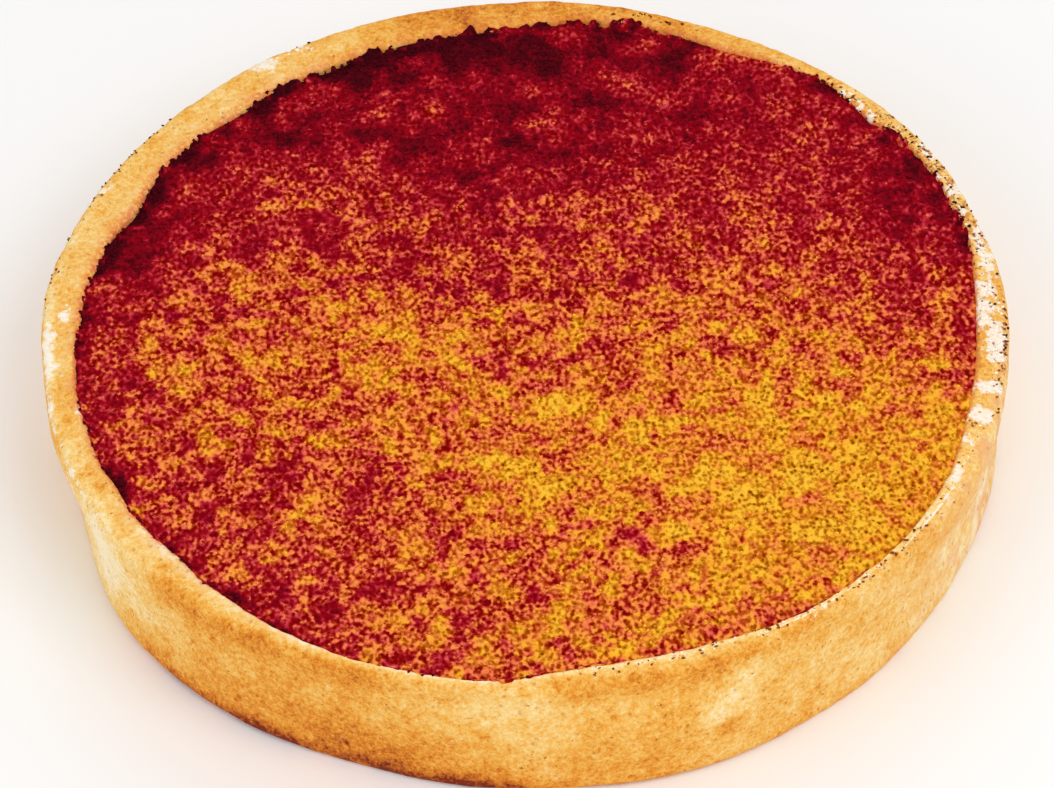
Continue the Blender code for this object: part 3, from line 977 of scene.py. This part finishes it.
def add_crept_sugar(sizes, material):
    """Closed band round the mouth: from under the sugar's edge it climbs onto the crust
    as far as the sugar reaches, a little thicker than a film, with fine lumps."""
    rows, columns = 12, 2160
    around = np.arange(columns) / columns * TAU
    share, angle = np.meshgrid(np.linspace(0.0, 1.0, rows), around, indexing="ij")
    mouth = mouth_at(sizes, angle)
    reach = creep_reach(angle)
    inner = -1.1 * MM
    radius = mouth + inner + (reach - inner) * share
    crust = rim_level(sizes, angle, np.clip((radius - mouth) / rim_width(sizes, angle), 0.0, 1.0))
    sunk = sizes.height - sizes.fill_drop - sizes.edge_tuck - 0.25 * MM
    climb = smoothstep(0.0, 0.85, (radius - mouth - inner) / -inner)
    level = sunk + (crust + 0.09 * MM - sunk) * climb - 0.4 * MM * smoothstep(0.92, 1.0, share)
    level = np.where(reach > 0.0, level, level - 0.8 * MM)
    points = round_points(radius, angle, level)
    points[..., 2] += layers_at(points, (0.05, 0.9, 63), (0.05, 0.5, 64)) * MM
    closed = np.concatenate([points, points[::-1] - np.array([0.0, 0.0, 0.3 * MM])])
    one = np.arange(columns)
    faces = turned_faces(2 * rows, columns) + band_faces(one + (2 * rows - 1) * columns, one)
    piece = add_piece("crept_sugar", keep_inside(closed), faces, material)
    turn = np.concatenate([angle, angle[::-1]])
    outer = smoothstep(0.35, 0.95, np.concatenate([share, share[::-1]]))
    burn = np.minimum(burn_amount(closed, turn, 0.0 * turn), 0.9)
    burn += layers_at(closed, (0.12, 1.6, 67), (0.16, 0.7, 65), (0.16, 0.35, 69))
    store(piece, "burn", burn + 0.12 * near(turn, 130, 50) * outer)


def add_border_beads(sizes, material):
    """Beads along the frayed edge of the sugar, sunk where they lie inside the mouth."""
    rng = np.random.default_rng(68)
    angle = np.radians(np.concatenate([rng.uniform(*band) for band in BORDER_BEADS]))
    mouth = mouth_at(sizes, angle)
    radius = mouth + np.maximum(creep_reach(angle), 0.02 * MM) * rng.uniform(0.7, 1.1, len(angle))
    radius += rng.normal(-0.12, 0.06, len(angle)) * MM
    level = rim_level(sizes, angle, np.clip((radius - mouth) / rim_width(sizes, angle), 0.0, 1.0))
    level -= 0.35 * MM * smoothstep(0.0, 0.5 * MM, mouth - radius)
    half = rng.uniform(0.08, 0.21, (len(angle), 1)) * rng.uniform(0.75, 1.35, (len(angle), 3)) * MM
    piece, corners = add_crystals("border_beads", round_points(radius, angle, level), half, rng, material)
    store(piece, "burn", np.repeat(rng.uniform(0.78, 1.0, len(angle)), corners))


class TARTLET_OT_creep_sugar(bpy.types.Operator):
    """Lays the frayed border of burnt sugar that climbs onto the crust's inner edge"""
    bl_idname = "tartlet.creep_sugar"
    bl_label = "Creep sugar"

    def execute(self, context):
        sizes = context.scene.tartlet_sizes
        sugar = context.scene.tartlet_sugar
        add_crept_sugar(sizes, sugar_material(sugar))
        add_border_beads(sizes, grain_material("border_beads", sugar))
        return {"FINISHED"}


# ---- Crumbs of the rim ----

# Bits on the rim: (first angle, last angle, from and to across the rim, count, half size in mm)
CHAR_BANDS = (
    (13, 34, 0.05, 0.6, 20, 0.2), (13, 34, 0.6, 0.85, 10, 0.14), (34, 46, 0, 0.4, 9, 0.2),
    (66, 73, 0.35, 0.6, 8, 0.12), (0, 12, 0.2, 0.9, 7, 0.14), (114, 124, 0.88, 0.97, 3, 0.15),
    (134, 150, 0.9, 0.97, 9, 0.16), (150, 172, 0.88, 0.97, 5, 0.12), (274, 300, 0.04, 0.34, 12, 0.11),
    (300, 318, 0.04, 0.4, 6, 0.11), (318, 346, 0.02, 0.3, 3, 0.12), (350, 359, 0.82, 0.95, 5, 0.15),
)
RUST_BANDS = (
    (12, 36, 0.05, 0.82, 26, 0.19), (36, 46, 0, 0.5, 10, 0.2), (64, 76, 0.3, 0.7, 12, 0.16),
    (342, 360, 0.7, 0.95, 16, 0.15), (272, 298, 0.02, 0.5, 16, 0.14), (298, 320, 0.05, 0.6, 30, 0.17),
    (320, 342, 0.1, 0.6, 18, 0.14), (134, 172, 0.8, 0.97, 20, 0.14),
)
FLOUR_BANDS = (
    (0, 12, 0.05, 0.9, 9, 0.16), (13, 34, 0.1, 0.8, 14, 0.18), (35, 43, 0, 0.35, 9, 0.22),
    (284, 316, 0.1, 0.4, 20, 0.13), (326, 348, 0.15, 0.8, 10, 0.14), (348, 360, 0.2, 0.9, 10, 0.16),
    (115, 123, 0.7, 0.93, 8, 0.18), (170, 173, 0.3, 0.6, 4, 0.18),
)
AMBER_BANDS = ((12, 46, 0, 0.75, 70, 0.22), (325, 350, 0.2, 0.9, 7, 0.14), (278, 320, 0.1, 0.5, 24, 0.14))


def bit_material(name, colour, roughness, gloss, depth=0.35):
    """Small bits: one tone with fine mottling, as strong as the depth."""
    w = Wiring(name)
    shade = w.spread(w.noise(0.35, 2.0, 0.6), 0.3, 0.7, 1.0 - depth, 1.0)
    return w.finish(w.mix(shade, (0.0, 0.0, 0.0, 1.0), linear(colour)), roughness, gloss)


class TARTLET_OT_scatter_crumbs(bpy.types.Operator):
    """Scatters charred specks, flakes of flour and bits of amber sugar on the rim"""
    bl_idname = "tartlet.scatter_crumbs"
    bl_label = "Scatter crumbs"

    def execute(self, context):
        sizes = context.scene.tartlet_sizes
        pastry = context.scene.tartlet_pastry
        char = bit_material("char", pastry.char, 0.6, 0.1)
        rust = bit_material("rust", pastry.rust, 0.6, 0.1)
        flour = bit_material("flour", pastry.flour, 0.9, 0.1, 0.06)
        amber = bit_material("amber_sugar", context.scene.tartlet_sugar.amber, 0.3, 0.4)
        kinds = (
            ("char_specks", CHAR_BANDS, 71, char, "burnt_sugar", 1.2),
            ("rust_shards", RUST_BANDS, 74, rust, "burnt_sugar", 1.2),
            ("flour_flakes", FLOUR_BANDS, 72, flour, "shortcrust", 1.1),
            ("amber_bits", AMBER_BANDS, 73, amber, "burnt_sugar", 1.1),
        )
        for name, bands, seed, material, slot, long in kinds:
            rng = np.random.default_rng(seed)
            parts = [(rng.uniform(first, last, count), rng.uniform(inner, outer, count), np.full(count, half))
                     for first, last, inner, outer, count, half in bands]
            degrees, across, half = (np.concatenate(column) for column in zip(*parts))
            angle = np.radians(degrees)
            radius = mouth_at(sizes, angle) + across * rim_width(sizes, angle)
            places = round_points(radius, angle, rim_level(sizes, angle, across) - 0.02 * MM)
            build = np.array([long, 1.0 / long, 0.45])
            shape = half[:, None] * MM * rng.uniform(0.6, 1.5, (len(half), 3)) * build
            add_crystals(name, places, shape, rng, material)
        return {"FINISHED"}


# ---- Stage ----

TABLE_REACH = 4.0

# Lamps: (name, place in metres, size in metres, watts)
LAMPS = (
    ("key", (0.3, -0.3, 0.55), 0.45, 1.3),
    ("fill", (-0.45, -0.35, 0.4), 0.5, 0.7),
    ("back", (0.1, 0.55, 0.45), 0.5, 0.5),
)


def add_table(colour):
    """Wide flat table in one pale colour."""
    mesh = bpy.data.meshes.new("table")
    signs = ((-1, -1), (1, -1), (1, 1), (-1, 1))
    mesh.from_pydata([(x * TABLE_REACH, y * TABLE_REACH, 0) for x, y in signs], [], [(0, 1, 2, 3)])
    floor = bpy.data.objects.new("table", mesh)
    bpy.context.scene.collection.objects.link(floor)
    finish = bpy.data.materials.new("table")
    finish.use_nodes = True
    shader = finish.node_tree.nodes["Principled BSDF"]
    shader.inputs["Base Color"].default_value = linear(colour)
    shader.inputs["Roughness"].default_value = 0.9
    mesh.materials.append(finish)


def add_lamp(name, place, aim, size, watts):
    """Round soft lamp that shines from its place at its aim."""
    lamp = bpy.data.lights.new(name, "AREA")
    lamp.shape = "DISK"
    lamp.size = size
    lamp.energy = watts
    light = bpy.data.objects.new(name, lamp)
    light.location = place
    light.rotation_mode = "QUATERNION"
    light.rotation_quaternion = (Vector(aim) - Vector(place)).to_track_quat("-Z", "Y")
    bpy.context.scene.collection.objects.link(light)


def add_camera(stage):
    """Camera swung about the pivot by its elevation, aimed a little in front of it and
    rolled about its own line of sight."""
    lens = bpy.data.cameras.new("camera")
    lens.lens = stage.lens
    lens.sensor_width = 36.0
    lens.clip_start = 0.01
    camera = bpy.data.objects.new("camera", lens)
    bpy.context.scene.collection.objects.link(camera)
    pivot = Vector((0.0, 0.0, stage.pivot_height))
    away = Vector((0.0, -math.cos(stage.elevation), math.sin(stage.elevation)))
    camera.location = pivot + stage.distance * away
    aim = pivot + Vector((stage.aim_right, -stage.aim_front, 0.0))
    camera.rotation_mode = "QUATERNION"
    level = (aim - camera.location).to_track_quat("-Z", "Y")
    camera.rotation_quaternion = level @ Quaternion((0.0, 0.0, 1.0), -stage.roll)
    bpy.context.scene.camera = camera


class TARTLET_OT_set_stage(bpy.types.Operator):
    """Sets the pale table, the soft lights and the camera"""
    bl_idname = "tartlet.set_stage"
    bl_label = "Set stage"

    def execute(self, context):
        scene = context.scene
        stage = scene.tartlet_stage
        add_table(stage.floor)
        for name, place, size, watts in LAMPS:
            add_lamp(name, place, (0.0, 0.0, scene.tartlet_sizes.height), size, watts * stage.key)
        world = bpy.data.worlds.new("soft_light")
        world.use_nodes = True
        background = world.node_tree.nodes["Background"]
        background.inputs["Color"].default_value = (1.0, 1.0, 1.0, 1.0)
        background.inputs["Strength"].default_value = stage.sky
        scene.world = world
        scene.view_settings.view_transform = "Standard"
        add_camera(stage)
        return {"FINISHED"}


class TARTLET_PT_panel(bpy.types.Panel):
    """Lists what the tartlet is made of"""
    bl_idname = "TARTLET_PT_panel"
    bl_label = "Tartlet"
    bl_space_type = "VIEW_3D"
    bl_region_type = "UI"
    bl_category = "Tartlet"

    def draw(self, context):
        for operator in OPERATORS:
            self.layout.operator(operator.bl_idname)


GROUPS = (
    ("tartlet_sizes", TartletSizes),
    ("tartlet_pastry", PastryColours),
    ("tartlet_sugar", SugarColours),
    ("tartlet_stage", StageSettings),
)
OPERATORS = (
    TARTLET_OT_bake_shell, TARTLET_OT_burn_sugar, TARTLET_OT_strew_grains, TARTLET_OT_creep_sugar,
    TARTLET_OT_scatter_crumbs, TARTLET_OT_set_stage,
)


def register():
    for name, group in GROUPS:
        bpy.utils.register_class(group)
        setattr(bpy.types.Scene, name, bpy.props.PointerProperty(type=group))
    for kind in (*OPERATORS, TARTLET_PT_panel):
        bpy.utils.register_class(kind)


def unregister():
    for kind in reversed((*OPERATORS, TARTLET_PT_panel)):
        bpy.utils.unregister_class(kind)
    for name, group in reversed(GROUPS):
        delattr(bpy.types.Scene, name)
        bpy.utils.unregister_class(group)


def main():
    register()
    for operator in OPERATORS:
        group, action = operator.bl_idname.split(".")
        getattr(getattr(bpy.ops, group), action)()


if __name__ == "__main__":
    main()
